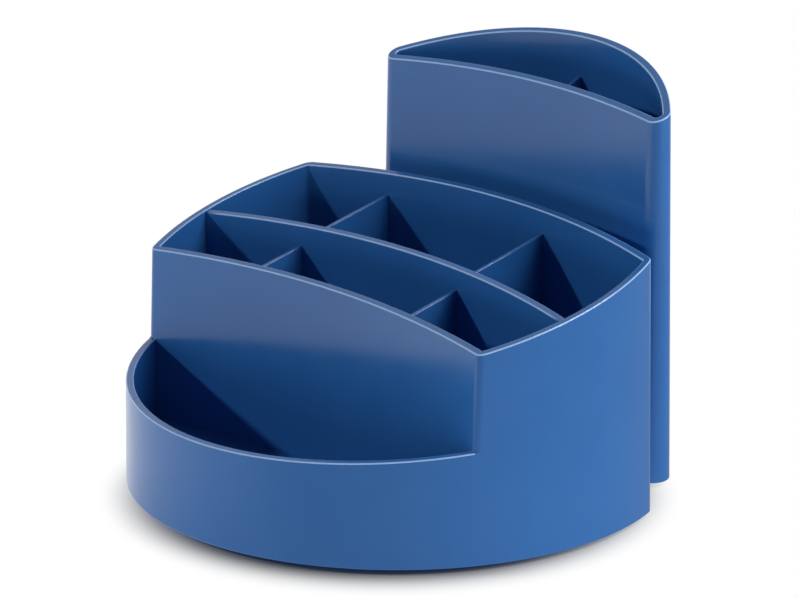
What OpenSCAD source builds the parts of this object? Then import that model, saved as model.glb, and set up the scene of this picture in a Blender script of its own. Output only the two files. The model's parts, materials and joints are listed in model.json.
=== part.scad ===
// Round desk organizer on a hidden ball-bearing turntable.
// Millimetres. The origin is on the desk, on the turning axis. +Z is up and -Y is the front, where the tray is.

/* [Outside] */
// Outer radius at the lower edge of the skirt
base_r = 70; // [64:0.5:78]
// Height of the skirt's lower edge above the desk
skirt_gap = 1.2; // [0.8:0.1:2.5]
// Inward lean of the outer walls, in degrees
draft = 1.1; // [0.5:0.1:1.5]

/* [Rims] */
// Height of the tray rim's plane at the turning axis
tray_rim_h = 32.6; // [29:0.1:36]
// Rise of the tray rim to the back, in degrees
tray_rim_slope = 5; // [3:0.1:8]
// Height of the block rim's plane at the turning axis
block_rim_h = 61; // [55:0.1:67]
// Rise of the block rim to the back, in degrees
block_rim_slope = 12.9; // [9:0.1:15]
// Height of the tower rim's plane at the turning axis
tower_rim_h = 79.4; // [72:0.1:90]
// Rise of the tower rim to the back, in degrees
tower_rim_slope = 21.8; // [18:0.1:26]

/* [Curved walls] */
// Place of the block's front face on the centre line, at its rim
front_wall_y = -24; // [-28:0.1:-20]
// Radius of the block's front face at its rim
front_wall_arc = 282; // [240:0.5:330]
// Forward lean of the block's front face towards the tray floor, in degrees
front_wall_lean = 2.6; // [1:0.1:4]
// Place of the row wall's front face on the centre line
row_wall_y = 0.7; // [-4:0.1:4]
// Radius of the row wall's front face
row_wall_arc = 246; // [210:0.5:290]
// Depth of the tower from its front face, at its rim, to the back of the skirt
tower_depth = 24.3; // [22:0.1:27]
// Radius of the block's rear face at its rim
rear_wall_arc = 212.5; // [185:0.5:240]
// Gap between the block's rear face and the tower's front face, at the rims
tower_gap = 10; // [8:0.1:12]
// Radius of the tower's front face at its rim
tower_front_arc = 251; // [215:0.5:290]
// Corner radius of the block's rear corners at the rim
block_corner_r = 3.5; // [2.6:0.1:5]
// Corner radius of the tower's front corners at the rim
tower_corner_r = 3.2; // [2.4:0.1:4]

/* [Wall thickness] */
// Thickness of the outer walls at the rims
rim_t = 2; // [1.6:0.1:2.4]
// Thickness of the skirt under the floors
skirt_t = 2.2; // [1.6:0.1:3]
// Thickness of the compartment floors
floor_t = 1.6; // [1.4:0.1:2.4]
// Thickness of the row wall
row_wall_t = 1.9; // [1.4:0.1:2.6]
// Thickness of the cross dividers
divider_t = 1.2; // [0.8:0.1:2]

/* [Dividers] */
// Place of the front row's left divider
front_left_x = -35.5; // [-42:0.1:-28]
// Place of the front row's right divider
front_right_x = 21.6; // [14:0.1:28]
// Place of the rear row's left divider
rear_left_x = -37.4; // [-44:0.1:-30]
// Place of the rear row's right divider
rear_right_x = 18.8; // [12:0.1:26]
// Place of the tower's divider
tower_divider_x = -1; // [-8:0.1:8]
// Depth of the cross dividers below the block's rim
divider_drop = 5.9; // [3:0.1:12]
// Depth of the row wall below the block's rim
row_wall_drop = 0.5; // [0:0.1:4]
// Depth of the tower's divider below the tower's rim
tower_divider_drop = 10.7; // [6:0.1:16]

/* [Turntable] */
// Distance from the outer wall's foot in to the turntable plate
turntable_inset = 14; // [12:0.1:16]
// Thickness of the turntable plate
turntable_t = 1.8; // [1.6:0.1:2.6]
// Distance from the turntable plate's edge in to the base plate's edge
base_inset = 6; // [4:0.1:8]
// Thickness of the base plate
base_t = 1.5; // [1.4:0.1:2.2]
// Wall of the turntable plate's hub round the clip's pocket
hub_wall = 1.5; // [1:0.1:3]
// Gap between the hub and the base plate
hub_gap = 0.6; // [0.4:0.1:1]

/* [Feet] */
// Radius of a foot pad
foot_r = 5.5; // [4:0.1:7]
// Height of the base plate above the desk
foot_proud = 0.6; // [0.4:0.1:1]
// Depth of a foot pad's seat in the base plate
foot_seat = 0.5; // [0.3:0.1:0.8]
// Distance from the base plate's edge in to the foot pads
foot_edge = 2.5; // [1.5:0.1:4]
// Number of foot pads
foot_count = 5; // [4:1:8]

/* [Ball bearing] */
// Distance from the base plate's edge in to the circle of ball centres
ball_inset = 18; // [16:0.1:23]
// Diameter of a ball
ball_d = 2.4; // [2:0.1:3]
// Number of balls
ball_count = 18; // [12:1:24]
// Width of a race
race_w = 9; // [7:0.1:10]
// Thickness of a race
race_t = 0.6; // [0.5:0.05:0.9]
// Depth of the groove in a race
groove_depth = 0.25; // [0.15:0.05:0.35]
// Width of the cage
cage_w = 7; // [5.5:0.1:8]
// Thickness of the cage
cage_t = 0.8; // [0.6:0.1:1]

/* [Pivot] */
// Radius of the pivot pin
pin_r = 3; // [2.5:0.1:3.5]
// Radius of the pivot pin's head
pin_head_r = 5; // [4.2:0.1:6]
// Thickness of the pivot pin's head
pin_head_t = 0.9; // [0.6:0.1:1.1]
// Wall of the bush
bush_wall = 1.6; // [1.2:0.1:2]
// Thickness of the washer and of the retaining clip
washer_t = 0.5; // [0.4:0.05:0.6]
// Width of the washer and of the retaining clip past the pin
washer_w = 3; // [2.2:0.1:4]
// Depth of the clip's groove in the pin
clip_groove = 0.6; // [0.4:0.1:0.8]
// Length of the pin past the clip
pin_end = 0.3; // [0.2:0.05:0.6]
// Room round the clip and over the pin's end
pocket_room = 0.2; // [0.1:0.05:0.4]

/* [Screws] */
// Radius of a screw's shank
screw_r = 1.25; // [1:0.05:1.5]
// Radius of a screw's head
screw_head_r = 4.4; // [4.2:0.1:5]
// Thickness of a screw's head
screw_head_t = 1.2; // [0.9:0.1:1.5]
// Radius of the screw bosses under the shells
boss_r = 3.2; // [2.6:0.1:3.6]
// Distance from the turntable plate's edge in to the front body's screws
front_screw_inset = 10; // [9:0.1:12]
// Direction of the front body's side screws from the X axis, in degrees
side_screw_angle = 20; // [12:1:26]
// Direction of the front body's front screws from the X axis, in degrees
front_screw_angle = -40; // [-60:1:-30]
// Distance from the turntable plate's edge in to the tower's screws
tower_screw_inset = 5.6; // [5.2:0.1:7]
// Angle of the tower's screws from the centre line, in degrees
tower_screw_angle = 17.5; // [12:0.5:24]

/* [Fits] */
// Gap between fixed pieces that seat in each other
seat_gap = 0.05; // [0.02:0.01:0.1]
// Running clearance of the pin in its bush and of the balls in their races
run_gap = 0.05; // [0.02:0.01:0.08]

/* [Hidden] */
$fn = 96;
shell_colour = [0.11, 0.30, 0.55];
divider_colour = [0.10, 0.27, 0.50];
plate_colour = [0.16, 0.17, 0.19];
rubber_colour = [0.06, 0.06, 0.06];
steel_colour = [0.72, 0.73, 0.75];
bush_colour = [0.88, 0.87, 0.83];
cage_colour = [0.80, 0.76, 0.62];

// Heights of the hidden stack, from the desk up
ball_r = ball_d / 2;
base_z = foot_proud;
base_top = base_z + base_t;
ball_z = base_top + race_t - groove_depth + run_gap + ball_r;
plate_z = ball_z + ball_r + run_gap - groove_depth + race_t;
plate_top = plate_z + turntable_t;
floor_top = plate_top + floor_t;
boss_hole_top = plate_top + floor_t / 2;

// Radii of the hidden plates
plate_r = base_r - turntable_inset;
base_plate_r = plate_r - base_inset;
foot_circle_r = base_plate_r - foot_edge - foot_r;
ball_circle_r = base_plate_r - ball_inset;
front_screw_circle = plate_r - front_screw_inset;
tower_screw_circle = plate_r - tower_screw_inset;

// Outer walls: every wall shrinks inwards by the same lean as it rises
lean = tan(draft);
reach = 4 * base_r;
// How far a cutting shape runs past what it cuts
cut = 1;
// How far a corner's disc stands past the walls that it joins, so that it crosses them cleanly
corner_lap = 0.02;
function rim_z(h, slope, y) = h + y * tan(slope);
function outer_r(z) = base_r - (z - skirt_gap) * lean;
function widened(size, z) = size + (z - skirt_gap) * lean;
tower_front_y = base_r - tower_depth;
rear_wall_y = tower_front_y - tower_gap;
tower_mid_y = (tower_front_y + base_r) / 2;
tray_mid_y = (front_wall_y - base_r) / 2;
front_rim_z = rim_z(block_rim_h, block_rim_slope, front_wall_y);
rear_rim_z = rim_z(block_rim_h, block_rim_slope, rear_wall_y);
tower_front_rim_z = rim_z(tower_rim_h, tower_rim_slope, tower_front_y);
tower_mid_rim_z = rim_z(tower_rim_h, tower_rim_slope, tower_mid_y);
tower_top = rim_z(tower_rim_h, tower_rim_slope, base_r);

// Centres of the curved walls, all on the centre line
front_centre_y = front_wall_y - front_wall_arc;
row_centre_y = row_wall_y - row_wall_arc;
rear_centre_y = rear_wall_y - rear_wall_arc;
tower_centre_y = tower_front_y - tower_front_arc;

// Radii of the drafted walls at the skirt's lower edge
rear_foot_r = widened(rear_wall_arc, rear_rim_z);
block_foot_corner = widened(block_corner_r, rear_rim_z);
tower_foot_r = tower_front_arc - (tower_front_rim_z - skirt_gap) * lean;
tower_foot_corner = widened(tower_corner_r, tower_front_rim_z);

// Upright inner faces of the compartments
tray_in_r = outer_r(rim_z(tray_rim_h, tray_rim_slope, tray_mid_y)) - rim_t;
block_in_r = outer_r(block_rim_h) - rim_t;
rear_in_r = rear_wall_arc - rim_t;
front_in_r = front_wall_arc + rim_t;
tower_in_r = outer_r(tower_mid_rim_z) - rim_t;
tower_front_in_r = tower_front_arc + rim_t;

// Pivot stack, from the base plate up
bush_r = pin_r + run_gap + bush_wall;
hub_z = base_top + hub_gap;
washer_r = pin_r + washer_w;
pocket_r = washer_r + pocket_room;
hub_r = pocket_r + hub_wall;
pin_top = plate_top - pocket_room;
clip_z = pin_top - pin_end - seat_gap - washer_t;
washer_z = clip_z - washer_t;
pocket_z = washer_z - run_gap;

// Corner centre of an outline between the turning circle and a wall circle:
// ra and rb are the distances from the two circles' centres
function corner_centre(ra, rb, yb) =
    let (y = (ra * ra - rb * rb + yb * yb) / (2 * yb))
    [sqrt(ra * ra - y * y), y];
function unit(v) = v / norm(v);

// Solid disc standing at the skirt's lower edge, whose radius grows by grow per millimetre of height
module wall_disc(r, y, grow, z0, z1) {
    translate([0, y, z0])
        cylinder(h = z1 - z0, r1 = r + (z0 - skirt_gap) * grow, r2 = r + (z1 - skirt_gap) * grow);
}

// Upright wedge that spans the two directions from a corner's centre
module corner_wedge(p, da, db, z0, z1) {
    translate([0, 0, z0])
        linear_extrude(height = z1 - z0)
            polygon([p, p + base_r * da, p + base_r * (da + db), p + base_r * db]);
}

// Outline with its two sharp corners rounded: a wedge cuts each corner off as far as
// the tangent lines, and a disc that laps over the two walls by corner_lap fills it
module rounded_corners(p, da, db, c, grow, z0, z1) {
    difference() {
        children();
        for (side = [0, 1])
            mirror([side, 0, 0])
                corner_wedge(p, da, db, z0 - cut, z1 + cut);
    }
    for (side = [0, 1])
        mirror([side, 0, 0])
            translate([p[0], p[1], 0])
                wall_disc(c + corner_lap, 0, grow, z0, z1);
}

// Front outline: inside the turning circle and in front of the rear wall
module front_outline(ra, rb, c, grow, z0, z1) {
    p = corner_centre(ra - c, rb - c, rear_centre_y);
    rounded_corners(p, unit(p), unit(p - [0, rear_centre_y]), c, grow, z0, z1)
        intersection() {
            wall_disc(ra, 0, grow, z0, z1);
            wall_disc(rb, rear_centre_y, grow, z0, z1);
        }
}

// Tower outline: inside the turning circle and behind the tower's front wall
module tower_outline(ra, rb, c, grow, z0, z1) {
    p = corner_centre(ra - c, rb + c, tower_centre_y);
    rounded_corners(p, unit(p), unit([0, tower_centre_y] - p), c, grow, z0, z1)
        difference() {
            wall_disc(ra, 0, grow, z0, z1);
            wall_disc(rb, tower_centre_y, -grow, z0 - cut, z1 + cut);
        }
}

// Half-space under a rim's sloping plane, or above it
module under_rim(h, slope) {
    translate([0, 0, h])
        rotate([slope, 0, 0])
            translate([-reach, -reach, -2 * reach])
                cube(2 * reach);
}

module over_rim(h, slope) {
    translate([0, 0, h])
        rotate([slope, 0, 0])
            translate([-reach, -reach, 0])
                cube(2 * reach);
}

// Screw places
front_screw_places = [
    for (side = [1, -1], a = [side_screw_angle, front_screw_angle])
        front_screw_circle * [side * cos(a), sin(a)]
];
tower_screw_places = [
    for (side = [1, -1])
        tower_screw_circle * [side * sin(tower_screw_angle), cos(tower_screw_angle)]
];

module at_places(places) {
    for (p = places)
        translate([p[0], p[1], 0])
            children();
}

// Boss that hangs from a floor through the turntable plate, and the screw's hole in it
module boss() {
    translate([0, 0, plate_z + seat_gap])
        cylinder(h = boss_hole_top - plate_z - seat_gap, r = boss_r);
}

module boss_hole() {
    translate([0, 0, plate_z - cut])
        cylinder(h = boss_hole_top - plate_z + cut, r = screw_r + seat_gap);
}

// Low tray and block with the two rows, one moulding
module front_body() {
    color(shell_colour)
        difference() {
            union() {
                difference() {
                    intersection() {
                        front_outline(base_r, rear_foot_r, block_foot_corner, -lean, skirt_gap, tower_top);
                        under_rim(block_rim_h, block_rim_slope);
                    }
                    tray_space();
                    block_space();
                    front_recess();
                }
                at_places(front_screw_places) boss();
            }
            at_places(front_screw_places) boss_hole();
        }
}

// Room in front of the block: the tray's hollow and all that is over the tray's rim
module tray_space() {
    grow = tan(front_wall_lean);
    foot_arc = front_wall_arc - (front_rim_z - skirt_gap) * grow;
    intersection() {
        wall_disc(foot_arc, front_centre_y, grow, skirt_gap, tower_top + cut);
        union() {
            translate([0, 0, floor_top]) cylinder(h = tower_top, r = tray_in_r);
            over_rim(tray_rim_h, tray_rim_slope);
        }
    }
}

// The block's hollow, before the row wall and the dividers split it
module block_space() {
    difference() {
        front_outline(block_in_r, rear_in_r, block_corner_r - rim_t, 0, floor_top, tower_top + cut);
        wall_disc(front_in_r, front_centre_y, 0, floor_top - cut, tower_top + 2 * cut);
    }
}

// Room under the floors for the turntable plate and the base plate
module plate_room() {
    cylinder(h = plate_top, r = plate_r + seat_gap);
}

module front_recess() {
    intersection() {
        cylinder(h = plate_top, r = base_r - skirt_t);
        wall_disc(rear_foot_r - skirt_t, rear_centre_y, 0, 0, plate_top);
    }
    plate_room();
}

// Long curved wall between the two rows
module row_wall() {
    color(divider_colour)
        intersection() {
            difference() {
                translate([0, row_centre_y, floor_top]) cylinder(h = tower_top, r = row_wall_arc + row_wall_t);
                translate([0, row_centre_y, 0]) cylinder(h = 2 * tower_top, r = row_wall_arc);
            }
            translate([0, 0, floor_top]) cylinder(h = tower_top, r = block_in_r - seat_gap);
            under_rim(block_rim_h - row_wall_drop, block_rim_slope);
        }
}

// Upright plate from front to back, from the floor to a sloping top
module divider_plate(x, h, slope) {
    intersection() {
        translate([x - divider_t / 2, -base_r, floor_top]) cube([divider_t, 2 * base_r, tower_top]);
        under_rim(h, slope);
    }
}

module front_divider(x) {
    color(divider_colour)
        difference() {
            intersection() {
                divider_plate(x, block_rim_h - divider_drop, block_rim_slope);
                translate([0, row_centre_y, 0]) cylinder(h = tower_top, r = row_wall_arc - seat_gap);
            }
            translate([0, front_centre_y, 0]) cylinder(h = tower_top, r = front_in_r + seat_gap);
        }
}

module rear_divider(x) {
    color(divider_colour)
        difference() {
            intersection() {
                divider_plate(x, block_rim_h - divider_drop, block_rim_slope);
                translate([0, rear_centre_y, 0]) cylinder(h = tower_top, r = rear_in_r - seat_gap);
            }
            translate([0, row_centre_y, 0]) cylinder(h = tower_top, r = row_wall_arc + row_wall_t + seat_gap);
        }
}

module front_left_divider() front_divider(front_left_x);
module front_right_divider() front_divider(front_right_x);
module rear_left_divider() rear_divider(rear_left_x);
module rear_right_divider() rear_divider(rear_right_x);

// Tall crescent shell at the back
module rear_tower() {
    color(shell_colour)
        difference() {
            union() {
                difference() {
                    intersection() {
                        tower_outline(base_r, tower_foot_r, tower_foot_corner, -lean, skirt_gap, tower_top + cut);
                        under_rim(tower_rim_h, tower_rim_slope);
                    }
                    tower_space();
                    tower_recess();
                }
                at_places(tower_screw_places) boss();
            }
            at_places(tower_screw_places) boss_hole();
        }
}

// The tower's hollow, before its divider splits it
module tower_space() {
    tower_outline(tower_in_r, tower_front_in_r, tower_corner_r - rim_t, 0, floor_top, tower_top + 2 * cut);
}

module tower_recess() {
    tower_outline(base_r - skirt_t, tower_foot_r + skirt_t, tower_foot_corner - skirt_t, 0, 0, plate_top);
    plate_room();
}

module tower_divider() {
    color(divider_colour)
        difference() {
            intersection() {
                divider_plate(tower_divider_x, tower_rim_h - tower_divider_drop, tower_rim_slope);
                cylinder(h = 2 * tower_top, r = tower_in_r - seat_gap);
            }
            translate([0, tower_centre_y, 0]) cylinder(h = 2 * tower_top, r = tower_front_in_r + seat_gap);
        }
}

// Plate that carries both shells, with a hub for the bush and a pocket for the clip
module turntable_plate() {
    color(plate_colour)
        difference() {
            union() {
                translate([0, 0, plate_z]) cylinder(h = turntable_t, r = plate_r);
                translate([0, 0, hub_z]) cylinder(h = plate_z - hub_z, r = hub_r);
            }
            translate([0, 0, hub_z - cut]) cylinder(h = plate_top, r = bush_r + seat_gap);
            translate([0, 0, pocket_z]) cylinder(h = plate_top, r = pocket_r);
            at_places(concat(front_screw_places, tower_screw_places))
                cylinder(h = 2 * plate_top, r = boss_r + seat_gap);
        }
}

// Plate that stays still on the desk
module base_plate() {
    color(plate_colour)
        difference() {
            translate([0, 0, base_z]) cylinder(h = base_t, r = base_plate_r);
            cylinder(h = 2 * base_top, r = pin_r + seat_gap);
            cylinder(h = base_z + pin_head_t + seat_gap, r = pin_head_r + seat_gap);
            foot_places() cylinder(h = base_z + foot_seat, r = foot_r + seat_gap);
        }
}

module foot_places() {
    for (i = [0 : foot_count - 1])
        rotate([0, 0, i * 360 / foot_count])
            translate([0, foot_circle_r, 0])
                children();
}

module foot_pads() {
    color(rubber_colour)
        foot_places() cylinder(h = base_z + foot_seat, r = foot_r);
}

// Flat ring with a round groove for the balls in its upper face
module race() {
    rotate_extrude()
        difference() {
            translate([ball_circle_r - race_w / 2, 0]) square([race_w, race_t]);
            translate([ball_circle_r, race_t - groove_depth + ball_r + run_gap]) circle(r = ball_r + run_gap);
        }
}

module lower_race() {
    color(steel_colour)
        translate([0, 0, base_top])
            race();
}

module upper_race() {
    color(steel_colour)
        translate([0, 0, plate_z])
            mirror([0, 0, 1])
                race();
}

module ball_places() {
    for (i = [0 : ball_count - 1])
        rotate([0, 0, i * 360 / ball_count])
            translate([ball_circle_r, 0, ball_z])
                children();
}

module bearing_balls() {
    color(steel_colour)
        ball_places() sphere(r = ball_r);
}

module ball_cage() {
    color(cage_colour)
        difference() {
            translate([0, 0, ball_z - cage_t / 2]) cylinder(h = cage_t, r = ball_circle_r + cage_w / 2);
            cylinder(h = 2 * ball_z, r = ball_circle_r - cage_w / 2);
            ball_places() cylinder(h = 2 * cage_t, r = ball_r + run_gap, center = true);
        }
}

// Headed pin that joins the two plates, with a groove for the clip
module pivot_pin() {
    color(steel_colour)
        difference() {
            union() {
                translate([0, 0, base_z]) cylinder(h = pin_head_t, r = pin_head_r);
                translate([0, 0, base_z]) cylinder(h = pin_top - base_z, r = pin_r);
            }
            difference() {
                translate([0, 0, clip_z]) cylinder(h = washer_t + seat_gap, r = pin_r + cut);
                cylinder(h = 2 * pin_top, r = pin_r - clip_groove);
            }
        }
}

module pivot_bush() {
    color(bush_colour)
        difference() {
            translate([0, 0, hub_z]) cylinder(h = pocket_z - hub_z, r = bush_r);
            cylinder(h = 2 * plate_top, r = pin_r + run_gap);
        }
}

module pivot_washer() {
    color(steel_colour)
        difference() {
            translate([0, 0, washer_z]) cylinder(h = washer_t, r = washer_r);
            cylinder(h = 2 * plate_top, r = pin_r + run_gap);
        }
}

// Open ring that snaps into the pin's groove
module pivot_clip() {
    mouth = 2 * (pin_r - clip_groove);
    color(steel_colour)
        difference() {
            translate([0, 0, clip_z]) cylinder(h = washer_t, r = washer_r);
            cylinder(h = 2 * plate_top, r = pin_r - clip_groove + seat_gap);
            translate([-mouth / 2, 0, 0]) cube([mouth, 2 * washer_r, 2 * plate_top]);
        }
}

// Wide-headed screw from below, with a cross in its head
module screw() {
    cross_w = screw_head_r / 5;
    cross_l = screw_head_r;
    difference() {
        union() {
            translate([0, 0, plate_z - screw_head_t]) cylinder(h = screw_head_t, r = screw_head_r);
            translate([0, 0, plate_z - screw_head_t / 2])
                cylinder(h = boss_hole_top - seat_gap - plate_z + screw_head_t / 2, r = screw_r);
        }
        for (turn = [0, 90])
            translate([0, 0, plate_z - screw_head_t])
                rotate([0, 0, turn])
                    cube([cross_l, cross_w, screw_head_t], center = true);
    }
}

module front_body_screws() {
    color(steel_colour)
        at_places(front_screw_places) screw();
}

module tower_screws() {
    color(steel_colour)
        at_places(tower_screw_places) screw();
}

front_body();
row_wall();
front_left_divider();
front_right_divider();
rear_left_divider();
rear_right_divider();
rear_tower();
tower_divider();
turntable_plate();
base_plate();
foot_pads();
lower_race();
upper_race();
bearing_balls();
ball_cage();
pivot_pin();
pivot_bush();
pivot_washer();
pivot_clip();
front_body_screws();
tower_screws();
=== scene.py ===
import bpy
import bmesh
import json
import math
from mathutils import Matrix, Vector


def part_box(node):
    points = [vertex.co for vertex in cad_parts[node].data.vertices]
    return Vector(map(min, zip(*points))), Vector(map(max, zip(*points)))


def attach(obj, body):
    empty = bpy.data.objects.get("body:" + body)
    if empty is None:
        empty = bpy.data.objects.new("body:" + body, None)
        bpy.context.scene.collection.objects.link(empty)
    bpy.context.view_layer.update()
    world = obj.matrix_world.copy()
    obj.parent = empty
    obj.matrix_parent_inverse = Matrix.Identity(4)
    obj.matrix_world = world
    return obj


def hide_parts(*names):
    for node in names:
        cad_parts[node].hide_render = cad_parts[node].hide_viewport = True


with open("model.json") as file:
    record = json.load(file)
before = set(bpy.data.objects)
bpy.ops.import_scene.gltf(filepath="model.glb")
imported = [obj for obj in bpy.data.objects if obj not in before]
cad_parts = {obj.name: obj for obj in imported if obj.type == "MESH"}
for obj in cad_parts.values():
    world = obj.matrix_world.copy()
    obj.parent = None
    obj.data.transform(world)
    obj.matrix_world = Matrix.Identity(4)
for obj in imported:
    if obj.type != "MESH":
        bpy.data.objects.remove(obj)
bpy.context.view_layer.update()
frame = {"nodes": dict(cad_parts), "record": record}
nodes = frame["nodes"]
scene = bpy.context.scene
mm = 0.001
print("frame loaded:", len(nodes), "nodes")


# Camera at the photograph's angle
cameraLook = {
    "place": (614.74 * mm, -566.80 * mm, 303.83 * mm),
    "turn": 47.320,      # degrees round from the front
    "lookDown": 17.025,  # degrees below level
    "lens": 155.40,
    "nearest": 10 * mm,
}


def addCamera(look):
    data = bpy.data.cameras.new("camera")
    data.lens = look["lens"]
    data.clip_start = look["nearest"]
    camera = bpy.data.objects.new("camera", data)
    camera.location = look["place"]
    camera.rotation_euler = (math.radians(90 - look["lookDown"]), 0, math.radians(look["turn"]))
    scene.collection.objects.link(camera)
    scene.camera = camera


addCamera(cameraLook)
print("camera set")


# Node helpers
def newMaterial(name):
    material = bpy.data.materials.new(name)
    material.use_nodes = True
    tree = material.node_tree
    return material, tree, tree.nodes["Principled BSDF"]


def addNode(tree, kind, **values):
    node = tree.nodes.new(kind)
    for key, value in values.items():
        setattr(node, key, value)
    return node


def objectPattern(tree, kind, scale, stretch=(1, 1, 1), **inputs):
    place = addNode(tree, "ShaderNodeTexCoord")
    mapping = addNode(tree, "ShaderNodeMapping")
    mapping.inputs["Scale"].default_value = stretch
    pattern = addNode(tree, kind)
    pattern.inputs["Scale"].default_value = scale
    for key, value in inputs.items():
        pattern.inputs[key].default_value = value
    tree.links.new(place.outputs["Object"], mapping.inputs["Vector"])
    tree.links.new(mapping.outputs["Vector"], pattern.inputs["Vector"])
    return pattern


def rangeOf(tree, source, low, high, fromLow=0.3, fromHigh=0.7):
    span = addNode(tree, "ShaderNodeMapRange")
    span.inputs["From Min"].default_value = fromLow
    span.inputs["From Max"].default_value = fromHigh
    span.inputs["To Min"].default_value = low
    span.inputs["To Max"].default_value = high
    tree.links.new(source, span.inputs["Value"])
    return span.outputs["Result"]


def blendColours(tree, factor, first, second):
    mix = addNode(tree, "ShaderNodeMix", data_type="RGBA")
    tree.links.new(factor, mix.inputs["Factor"])
    for socket, colour in (("A", first), ("B", second)):
        target = next(i for i in mix.inputs if i.name == socket and i.type == "RGBA")
        if isinstance(colour, tuple):
            target.default_value = (*colour, 1)
        else:
            tree.links.new(colour, target)
    return next(o for o in mix.outputs if o.type == "RGBA")


def addBump(tree, shader, height, strength, distance):
    bump = addNode(tree, "ShaderNodeBump")
    bump.inputs["Strength"].default_value = strength
    bump.inputs["Distance"].default_value = distance
    tree.links.new(height, bump.inputs["Height"])
    tree.links.new(bump.outputs["Normal"], shader.inputs["Normal"])


# Satin moulded plastic of the shells and dividers, with a painted highlight on the rounded rim edges
bluePlastic = {
    "deep": (0.022, 0.124, 0.375),
    "pale": (0.027, 0.140, 0.415),
    # painted highlight: the colour of the rounded rim edges, much lighter than the plastic
    "edge": (0.340, 0.540, 0.880),
    "roughLow": 0.15,
    "roughHigh": 0.20,
    "edgeGloss": 0.03,       # how much smoother the handled edges are
    "cloudScale": 22,
    "grainScale": 2600,
    "grainDepth": 0.02 * mm,
    "grainStrength": 0.03,
    "scuffScale": 90,
    "ior": 1.5,
}


def satinPlastic(name, look):
    material, tree, shader = newMaterial(name)
    cloud = objectPattern(tree, "ShaderNodeTexNoise", look["cloudScale"], Detail=3)
    body = blendColours(tree, rangeOf(tree, cloud.outputs["Fac"], 0, 1), look["deep"], look["pale"])
    # rounded rim edges get the painted highlight colour, and a little less roughness as polish
    paintedHighlightAndPolish = addNode(tree, "ShaderNodeAttribute", attribute_name="rimPaintedHighlightAndPolish")
    colour = blendColours(tree, paintedHighlightAndPolish.outputs["Fac"], body, look["edge"])
    tree.links.new(colour, shader.inputs["Base Color"])

    scuff = objectPattern(tree, "ShaderNodeTexNoise", look["scuffScale"], Detail=2)
    rough = rangeOf(tree, scuff.outputs["Fac"], look["roughLow"], look["roughHigh"])
    polish = addNode(tree, "ShaderNodeMath", operation="MULTIPLY_ADD")
    polish.inputs[1].default_value = -look["edgeGloss"]
    tree.links.new(paintedHighlightAndPolish.outputs["Fac"], polish.inputs[0])
    tree.links.new(rough, polish.inputs[2])
    tree.links.new(polish.outputs["Value"], shader.inputs["Roughness"])

    grain = objectPattern(tree, "ShaderNodeTexNoise", look["grainScale"], Detail=2)
    addBump(tree, shader, grain.outputs["Fac"], look["grainStrength"], look["grainDepth"])
    shader.inputs["IOR"].default_value = look["ior"]
    return material


# Grained plastics and rubber of the hidden pieces
darkPlate = {"deep": (0.018, 0.019, 0.022), "pale": (0.027, 0.028, 0.032), "rough": (0.48, 0.62),
             "scale": 1400, "strength": 0.25}
blackRubber = {"deep": (0.008, 0.008, 0.008), "pale": (0.018, 0.018, 0.018), "rough": (0.75, 0.92),
               "scale": 2200, "strength": 0.4}
naturalNylon = {"deep": (0.56, 0.50, 0.34), "pale": (0.66, 0.60, 0.43), "rough": (0.40, 0.52),
                "scale": 1800, "strength": 0.12}
whiteAcetal = {"deep": (0.72, 0.70, 0.64), "pale": (0.80, 0.78, 0.73), "rough": (0.30, 0.42),
               "scale": 1800, "strength": 0.08}
grainDepth = 0.05 * mm
grainsPerCloud = 30  # how many grains across a patch of tone is


def grainedPlastic(name, look):
    material, tree, shader = newMaterial(name)
    grain = objectPattern(tree, "ShaderNodeTexNoise", look["scale"], Detail=3)
    cloud = objectPattern(tree, "ShaderNodeTexNoise", look["scale"] / grainsPerCloud, Detail=4)
    colour = blendColours(tree, rangeOf(tree, cloud.outputs["Fac"], 0, 1), look["deep"], look["pale"])
    tree.links.new(colour, shader.inputs["Base Color"])
    tree.links.new(rangeOf(tree, cloud.outputs["Fac"], *look["rough"]), shader.inputs["Roughness"])
    addBump(tree, shader, grain.outputs["Fac"], look["strength"], grainDepth)
    return material


# Steels: turned lines run in rings round the turning axis
pressedSteel = {"deep": (0.42, 0.43, 0.45), "pale": (0.58, 0.59, 0.61), "rough": (0.22, 0.36), "rings": 900}
platedSteel = {"deep": (0.46, 0.47, 0.49), "pale": (0.62, 0.63, 0.65), "rough": (0.18, 0.30), "rings": 1500}
zincSteel = {"deep": (0.40, 0.41, 0.42), "pale": (0.58, 0.59, 0.58), "rough": (0.26, 0.40), "rings": 2400}
ballSteel = {"deep": (0.60, 0.61, 0.63), "pale": (0.66, 0.67, 0.69), "rough": (0.06, 0.10), "rings": 300}
turnedLines = {"waver": 1.5, "cloudScale": 400, "strength": 0.05, "depth": 0.01 * mm}


def turnedSteel(name, look):
    material, tree, shader = newMaterial(name)
    lines = objectPattern(tree, "ShaderNodeTexWave", look["rings"],
                          Distortion=turnedLines["waver"], Detail=2)
    lines.wave_type = "RINGS"
    lines.rings_direction = "Z"
    cloud = objectPattern(tree, "ShaderNodeTexNoise", turnedLines["cloudScale"], Detail=4)
    colour = blendColours(tree, rangeOf(tree, cloud.outputs["Fac"], 0, 1), look["deep"], look["pale"])
    tree.links.new(colour, shader.inputs["Base Color"])
    tree.links.new(rangeOf(tree, lines.outputs["Fac"], *look["rough"], 0, 1), shader.inputs["Roughness"])
    addBump(tree, shader, lines.outputs["Fac"], turnedLines["strength"], turnedLines["depth"])
    shader.inputs["Metallic"].default_value = 1
    return material


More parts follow.
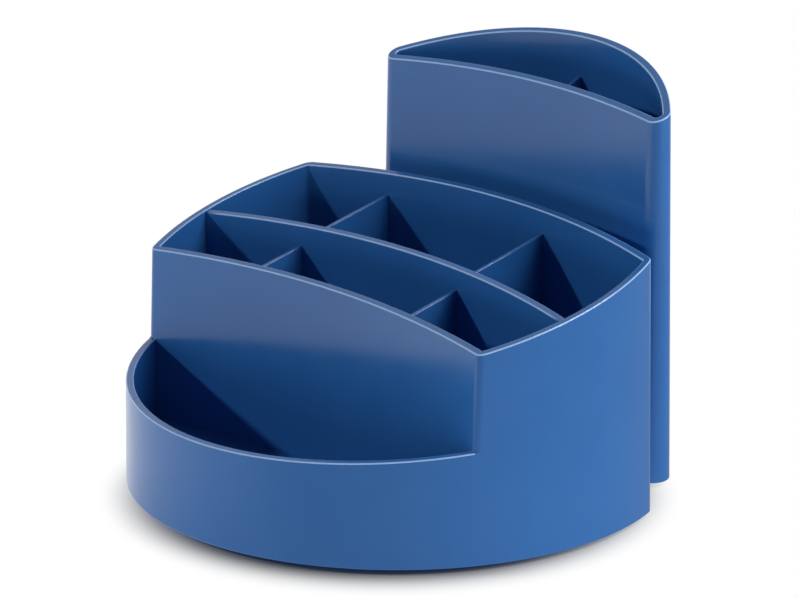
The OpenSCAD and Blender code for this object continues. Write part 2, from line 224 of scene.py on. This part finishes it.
finishes = {
    "shell": satinPlastic("satinBlue", bluePlastic),
    "plate": grainedPlastic("darkPlate", darkPlate),
    "foot": grainedPlastic("blackRubber", blackRubber),
    "race": turnedSteel("pressedSteel", pressedSteel),
    "ball": turnedSteel("ballSteel", ballSteel),
    "cage": grainedPlastic("naturalNylon", naturalNylon),
    "steel": turnedSteel("platedSteel", platedSteel),
    "bush": grainedPlastic("whiteAcetal", whiteAcetal),
    "screw": turnedSteel("zincSteel", zincSteel),
}
print("finishes made:", len(finishes))


# Finished pieces: a merged copy of each node with its edges rounded
nodeSlots = {part["node"]: part["material_slot"] for part in frame["record"]["subparts"]}
bodies = frame["record"]["behaviour"]["bodies"]
bodyOf = {node: body for body, members in bodies.items() for node in members}
mergeDistance = 0.001 * mm
flatLimit = math.radians(0.05)  # faces that differ by less become one
edgeLimit = math.radians(24)    # edges sharper than this are rounded
smoothLimit = math.radians(40)  # edges sharper than this stay crisp in the shading


def mergedCopy(node):
    bm = bmesh.new()
    bm.from_mesh(nodes[node].data)
    bm.verts.layers.float.new("rimPaintedHighlightAndPolish")
    bmesh.ops.remove_doubles(bm, verts=bm.verts, dist=mergeDistance)
    bmesh.ops.dissolve_limit(bm, angle_limit=flatLimit, verts=bm.verts, edges=bm.edges)
    return bm


def sharpEdges(bm, keep=None):
    edges = [e for e in bm.edges if e.is_manifold and e.calc_face_angle() > edgeLimit]
    return [e for e in edges if keep is None or keep(e)]


def roundEdges(bm, edges, width, segments, clamp=False):
    made = bmesh.ops.bevel(bm, geom=edges, offset=width, offset_type="OFFSET", affect="EDGES",
                           segments=segments, profile=0.5, material=-1, clamp_overlap=clamp)
    return set(made["faces"])


# Marks the rounded rim faces for the painted highlight colour and the polish
def markPaintedHighlightAndPolish(bm, rounded):
    paintedHighlightAndPolish = bm.verts.layers.float["rimPaintedHighlightAndPolish"]
    for face in rounded:
        for v in face.verts:
            if rounded.issuperset(v.link_faces):
                v[paintedHighlightAndPolish] = 1


def objectOf(name, bm):
    mesh = bpy.data.meshes.new(name)
    bm.to_mesh(mesh)
    bm.free()
    made = bpy.data.objects.new(name, mesh)
    scene.collection.objects.link(made)
    return made


def finishPiece(node, bm):
    piece = objectOf(node + "_finished", bm)
    piece.data.shade_smooth()
    piece.data.set_sharp_from_angle(angle=smoothLimit)
    piece.data.materials.append(finishes[nodeSlots[node]])
    weighted = piece.modifiers.new("evenNormals", "WEIGHTED_NORMAL")
    weighted.keep_sharp = True
    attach(piece, bodyOf[node])
    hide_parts(node)
    return piece


# Shells: rounded rims and foot, and a larger arc on the block's two front corners
shellEdges = {
    "rimWidth": 0.34 * mm,
    "rimSegments": 4,
    "rimAbove": 9 * mm,             # edges higher than this belong to the rims
    "trayBelow": 40 * mm,           # rims lower than this belong to the tray
    "narrow": math.radians(12),     # flat edges that leave a rim at less than this are dissolved
    "footWidth": 0.5 * mm,
    "footSegments": 3,
    "footBelow": 2.5 * mm,          # edges lower than this belong to the foot of the skirt
    "cornerSteep": 0.9,             # a front corner rises at least this much for its length
    "cornerAside": 0.8,             # and stands at least this far out, as a share of the half width
    "cornerAhead": -20 * mm,
    "cornerRadius": 2.0 * mm,
    "cornerSegments": 8,
    "cornerReach": 2.0 * mm,        # how far the cutter runs on past the arc
    "cornerFlare": 0.08,            # how fast it leaves the walls there
    "cornerMerge": 0.002 * mm,
    "ledgeSlope": math.radians(5),  # the tray rim's rise to the back, where the cutter ends
}


def isFrontCorner(edge, look):
    a, b = (v.co for v in edge.verts)
    steep = abs(a.z - b.z) / edge.calc_length() > look["cornerSteep"]
    aside = abs((a.x + b.x) / 2) > look["cornerAside"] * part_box("front_body")[1].x
    ahead = (a.y + b.y) / 2 < look["cornerAhead"]
    return steep and aside and ahead and edge.is_convex


def cornerCutter(edge, look):
    radius, reach = look["cornerRadius"], look["cornerReach"]
    foot, top = sorted((v.co.copy() for v in edge.verts), key=lambda co: co.z)
    rise = (top - foot).normalized()
    walls = [f.normal.copy() for f in edge.link_faces]
    across = rise.dot(walls[0].cross(walls[1]))
    outward = (walls[0] + walls[1]) / (1 + walls[0].dot(walls[1]))
    centre = foot - radius * outward
    bm = bmesh.new()
    first = bm.verts.new(centre + radius * walls[0])
    bmesh.ops.spin(bm, geom=[first], cent=centre, axis=rise, steps=look["cornerSegments"],
                   angle=math.copysign(walls[0].angle(walls[1]), across))
    last = max(bm.verts, key=lambda v: (v.co - first.co).length)
    chain = [last]
    for end, wall in ((last, walls[1]), (first, walls[0])):
        along = (end.co - foot).normalized()
        chain.append(bm.verts.new(end.co + reach * (along + look["cornerFlare"] * wall)))
    chain.insert(2, bm.verts.new(foot + 2 * reach * outward))
    for a, b in zip(chain, chain[1:] + [first]):
        bm.edges.new((a, b))
    profile = bmesh.ops.contextual_create(bm, geom=bm.edges[:])["faces"]
    below = bm.verts[:]
    lifted = bmesh.ops.extrude_face_region(bm, geom=profile)["geom"]
    above = [v for v in lifted if isinstance(v, bmesh.types.BMVert)]
    bmesh.ops.translate(bm, verts=above, vec=rise * ((top - foot).length + 3 * reach))
    for v in below:
        ledge = foot.z + (v.co.y - foot.y) * math.tan(look["ledgeSlope"])
        v.co += rise * ((ledge - v.co.z) / rise.z)
    bmesh.ops.recalc_face_normals(bm, faces=bm.faces)
    return bm


def joinedCutter(edges, look):
    joined = bmesh.new()
    for edge in edges:
        cutter = cornerCutter(edge, look)
        mesh = bpy.data.meshes.new("cornerCutter")
        cutter.to_mesh(mesh)
        cutter.free()
        joined.from_mesh(mesh)
        bpy.data.meshes.remove(mesh)
    return objectOf("cornerCutter", joined)


def cutCorners(bm, cutter, look):
    shell = objectOf("uncutShell", bm)
    cut = shell.modifiers.new("cornerCut", "BOOLEAN")
    cut.object = cutter
    cut.solver = "EXACT"
    result = bmesh.new()
    result.from_object(shell, bpy.context.evaluated_depsgraph_get())
    for scrap in (shell, cutter):
        bpy.data.objects.remove(scrap)
    bmesh.ops.remove_doubles(result, verts=result.verts, dist=look["cornerMerge"])
    bmesh.ops.dissolve_limit(result, angle_limit=flatLimit, verts=result.verts, edges=result.edges)
    return result


def clearBeside(bm, rims, look):
    flat = set()
    for rim in rims:
        for v in rim.verts:
            way = rim.other_vert(v).co - v.co
            for other in v.link_edges:
                if other.calc_face_angle() < edgeLimit:
                    if way.angle(other.other_vert(v).co - v.co) < look["narrow"]:
                        flat.add(other)
    bmesh.ops.dissolve_edges(bm, edges=list(flat), use_verts=True, use_face_split=False)


def rimEdges(bm, lowest, highest=math.inf):
    return sharpEdges(bm, lambda e: e.is_convex and all(lowest < v.co.z < highest for v in e.verts))


def roundRims(bm, look, lowest, highest=math.inf):
    clearBeside(bm, rimEdges(bm, lowest, highest), look)
    rims = rimEdges(bm, lowest, highest)
    markPaintedHighlightAndPolish(bm, roundEdges(bm, rims, look["rimWidth"], look["rimSegments"]))
    print("rim edges rounded:", len(rims))


def makeShell(node, look):
    bm = mergedCopy(node)
    corners = sharpEdges(bm, lambda e: isFrontCorner(e, look))
    cutter = joinedCutter(corners, look) if corners else None
    roundRims(bm, look, look["rimAbove"], look["trayBelow"])
    if cutter:
        bm = cutCorners(bm, cutter, look)
    foot = rimEdges(bm, 0, look["footBelow"])
    roundEdges(bm, foot, look["footWidth"], look["footSegments"], clamp=True)
    roundRims(bm, look, look["trayBelow"])
    return finishPiece(node, bm)


dividerEdges = {"width": 0.34 * mm, "segments": 4, "above": 20 * mm, "longerThan": 1.0 * mm}


def makeDivider(node, look):
    bm = mergedCopy(node)
    top = [e for e in rimEdges(bm, look["above"]) if e.calc_length() > look["longerThan"]]
    markPaintedHighlightAndPolish(bm, roundEdges(bm, top, look["width"], look["segments"]))
    return finishPiece(node, bm)


# Hidden pieces: the width of each one's small edge break
hiddenSegments = 2
hiddenEdges = {
    "turntable_plate": 0.3 * mm, "base_plate": 0.3 * mm, "foot_pads": 0.25 * mm, "ball_cage": 0.1 * mm,
    "pivot_pin": 0.12 * mm, "pivot_bush": 0.1 * mm, "pivot_washer": 0.08 * mm, "pivot_clip": 0.08 * mm,
    "front_body_screws": 0.15 * mm, "tower_screws": 0.15 * mm,
}


def makeRounded(node, width):
    bm = mergedCopy(node)
    roundEdges(bm, sharpEdges(bm), width, hiddenSegments, clamp=True)
    return finishPiece(node, bm)


# Races: the ring's section turned in fine steps, so that the balls run clear of the groove's facets
raceLook = {
    "ballCircle": 32 * mm,
    "width": 9 * mm,
    "grooveRadius": 1.25 * mm,
    "grooveDepth": 0.25 * mm,
    "grooveSegments": 12,
    "steps": 240,
    "edgeWidth": 0.1 * mm,
}


def makeRace(node, look, up):
    lowest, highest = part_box(node)
    face, back = (highest.z, lowest.z) if up > 0 else (lowest.z, highest.z)
    middle, half = look["ballCircle"], look["width"] / 2
    inner, outer = middle - half, middle + half
    radius, above = look["grooveRadius"], look["grooveRadius"] - look["grooveDepth"]
    opening = math.acos(above / radius)
    bm = bmesh.new()
    first = bm.verts.new((middle - radius * math.sin(opening), 0, face))
    bmesh.ops.spin(bm, geom=[first], cent=(middle, 0, face + up * above), axis=(0, 1, 0),
                   angle=-up * 2 * opening, steps=look["grooveSegments"])
    chain = [max(bm.verts, key=lambda v: v.co.x)]
    for x, z in ((outer, face), (outer, back), (inner, back), (inner, face)):
        chain.append(bm.verts.new((x, 0, z)))
    for a, b in zip(chain, chain[1:] + [first]):
        bm.edges.new((a, b))
    bmesh.ops.spin(bm, geom=bm.verts[:] + bm.edges[:], cent=(0, 0, 0), axis=(0, 0, 1),
                   angle=2 * math.pi, steps=look["steps"], use_merge=True)
    bmesh.ops.remove_doubles(bm, verts=bm.verts, dist=mergeDistance)
    bmesh.ops.recalc_face_normals(bm, faces=bm.faces)
    roundEdges(bm, sharpEdges(bm), look["edgeWidth"], hiddenSegments, clamp=True)
    return finishPiece(node, bm)


makeShell("front_body", shellEdges)
makeShell("rear_tower", shellEdges)
makeRace("lower_race", raceLook, 1)
makeRace("upper_race", raceLook, -1)
for wall in ("row_wall", "front_left_divider", "front_right_divider", "rear_left_divider",
             "rear_right_divider", "tower_divider"):
    makeDivider(wall, dividerEdges)
for hidden, width in hiddenEdges.items():
    makeRounded(hidden, width)
nodes["bearing_balls"].material_slots[0].material = finishes["ball"]
print("pieces finished")


# Floor: white where it is seen or mirrored, and paper near the base, which keeps the real shadow and also
# has a painted contact shadow darkening its colour right beside the base.
# It also throws light up on the walls.
floorLook = {
    "half": 3.0,
    "paper": 0.84,
    "paintedContactShadow": 0.17,                        # painted contact shadow: the floor's colour is darker right beside the base
    "shadowAim": (6.0 * mm, -8.2 * mm, 0),  # the shadow lies towards the front
    "shadowFrom": 58 * mm,                  # out to here only the light that falls on it shows
    "whiteFrom": 75 * mm,                   # from here out it is plain white
    "brightSide": -60 * mm,                 # mirrored in the walls, it is white to the left of here
    "dimSide": 40 * mm,                     # and dimmer to the right of here
    "dimLevel": 0.35,
    "bounce": 0.95,                         # how much light it throws up
}


def combine(tree, operation, first, second):
    step = addNode(tree, "ShaderNodeMath", operation=operation)
    tree.links.new(first, step.inputs[0])
    tree.links.new(second, step.inputs[1])
    return step.outputs["Value"]


def raysOf(tree):
    path = addNode(tree, "ShaderNodeLightPath")
    direct = combine(tree, "MAXIMUM", path.outputs["Is Camera Ray"], path.outputs["Is Transmission Ray"])
    return direct, path.outputs["Is Glossy Ray"]


def betweenLevels(tree, factor, first, second):
    mix = addNode(tree, "ShaderNodeMix", data_type="FLOAT")
    tree.links.new(factor, mix.inputs["Factor"])
    for socket, level in (("A", first), ("B", second)):
        target = next(i for i in mix.inputs if i.name == socket and i.type == "VALUE")
        if isinstance(level, float):
            target.default_value = level
        else:
            tree.links.new(level, target)
    return next(o for o in mix.outputs if o.type == "VALUE")


def levelAlong(tree, output, axis, low, high, fromLow, fromHigh):
    place = addNode(tree, "ShaderNodeTexCoord")
    parts = addNode(tree, "ShaderNodeSeparateXYZ")
    tree.links.new(place.outputs[output], parts.inputs["Vector"])
    return rangeOf(tree, parts.outputs[axis], low, high, fromLow, fromHigh)


def awayFromBase(tree, look):
    place = addNode(tree, "ShaderNodeTexCoord")
    away = addNode(tree, "ShaderNodeVectorMath", operation="DISTANCE")
    away.inputs[1].default_value = look["shadowAim"]
    tree.links.new(place.outputs["Object"], away.inputs[0])
    fade = addNode(tree, "ShaderNodeMapRange", interpolation_type="SMOOTHSTEP")
    fade.inputs["From Min"].default_value = look["shadowFrom"]
    fade.inputs["From Max"].default_value = look["whiteFrom"]
    tree.links.new(away.outputs["Value"], fade.inputs["Value"])
    return fade.outputs["Result"]


def addFloor(look):
    bm = bmesh.new()
    bmesh.ops.create_grid(bm, x_segments=1, y_segments=1, size=look["half"])
    floor = objectOf("floor", bm)
    material, tree, shader = newMaterial("paleFloor")
    away = awayFromBase(tree, look)
    # the floor's colour fades from the painted contact shadow beside the base to the paper further out
    paper = blendColours(tree, away, (look["paintedContactShadow"],) * 3, (look["paper"],) * 3)
    tree.links.new(paper, shader.inputs["Base Color"])
    shader.inputs["Roughness"].default_value = 1
    shader.inputs["Specular IOR Level"].default_value = 0
    direct, mirrored = raysOf(tree)
    side = levelAlong(tree, "Object", "X", 1.0, look["dimLevel"], look["brightSide"], look["dimSide"])
    white = addNode(tree, "ShaderNodeEmission")
    tree.links.new(betweenLevels(tree, mirrored, 1.0, side), white.inputs["Strength"])
    share = combine(tree, "MAXIMUM", mirrored, betweenLevels(tree, direct, look["bounce"], away))
    both = addNode(tree, "ShaderNodeMixShader")
    tree.links.new(share, both.inputs["Fac"])
    tree.links.new(shader.outputs["BSDF"], both.inputs[1])
    tree.links.new(white.outputs["Emission"], both.inputs[2])
    tree.links.new(both.outputs["Shader"], tree.nodes["Material Output"].inputs["Surface"])
    floor.data.materials.append(material)


addFloor(floorLook)


# World: white where it is seen, dimmer overhead where it is mirrored, and faint as a light
worldLook = {"seen": 1.0, "light": 0.03, "overhead": 0.45, "whiteUpTo": 0.25, "dimFrom": 0.65}


def setWorld(look):
    world = bpy.data.worlds.new("studio")
    scene.world = world
    world.use_nodes = True
    tree = world.node_tree
    background = tree.nodes["Background"]
    background.inputs["Color"].default_value = (1, 1, 1, 1)
    direct, mirrored = raysOf(tree)
    above = levelAlong(tree, "Generated", "Z", look["seen"], look["overhead"],
                       look["whiteUpTo"], look["dimFrom"])
    lit = betweenLevels(tree, mirrored, look["light"], above)
    tree.links.new(betweenLevels(tree, direct, lit, look["seen"]), background.inputs["Strength"])


setWorld(worldLook)


# Lamps: a small one in front on the left, low wide boxes that light the outer walls, and one high behind
lampAim = Vector((0, 0, 50 * mm))
lampLooks = {
    "frontLeftLamp": {"place": (-0.55, -0.65, 0.42), "size": (0.05, 0.05), "power": 2.7, "mirrored": False},
    "lowRightBox": {"place": (0.70, 0.10, 0.08), "size": (0.60, 0.14), "power": 1.1, "mirrored": True},
    "lowFrontBox": {"place": (-0.10, -0.75, 0.08), "size": (0.70, 0.14), "power": 0.55, "mirrored": True},
    "highRightBox": {"place": (0.42, 0.24, 0.54), "size": (0.34, 0.34), "power": 3.4, "mirrored": True},
}


def addLamp(name, look):
    data = bpy.data.lights.new(name, "AREA")
    data.shape = "RECTANGLE"
    data.size, data.size_y = look["size"]
    data.energy = look["power"]
    lamp = bpy.data.objects.new(name, data)
    lamp.location = look["place"]
    lamp.rotation_euler = (lamp.location - lampAim).to_track_quat("Z", "Y").to_euler()
    lamp.visible_glossy = look["mirrored"]
    scene.collection.objects.link(lamp)


for lampName, lampLook in lampLooks.items():
    addLamp(lampName, lampLook)
scene.view_settings.view_transform = "Standard"
print("stage lit")
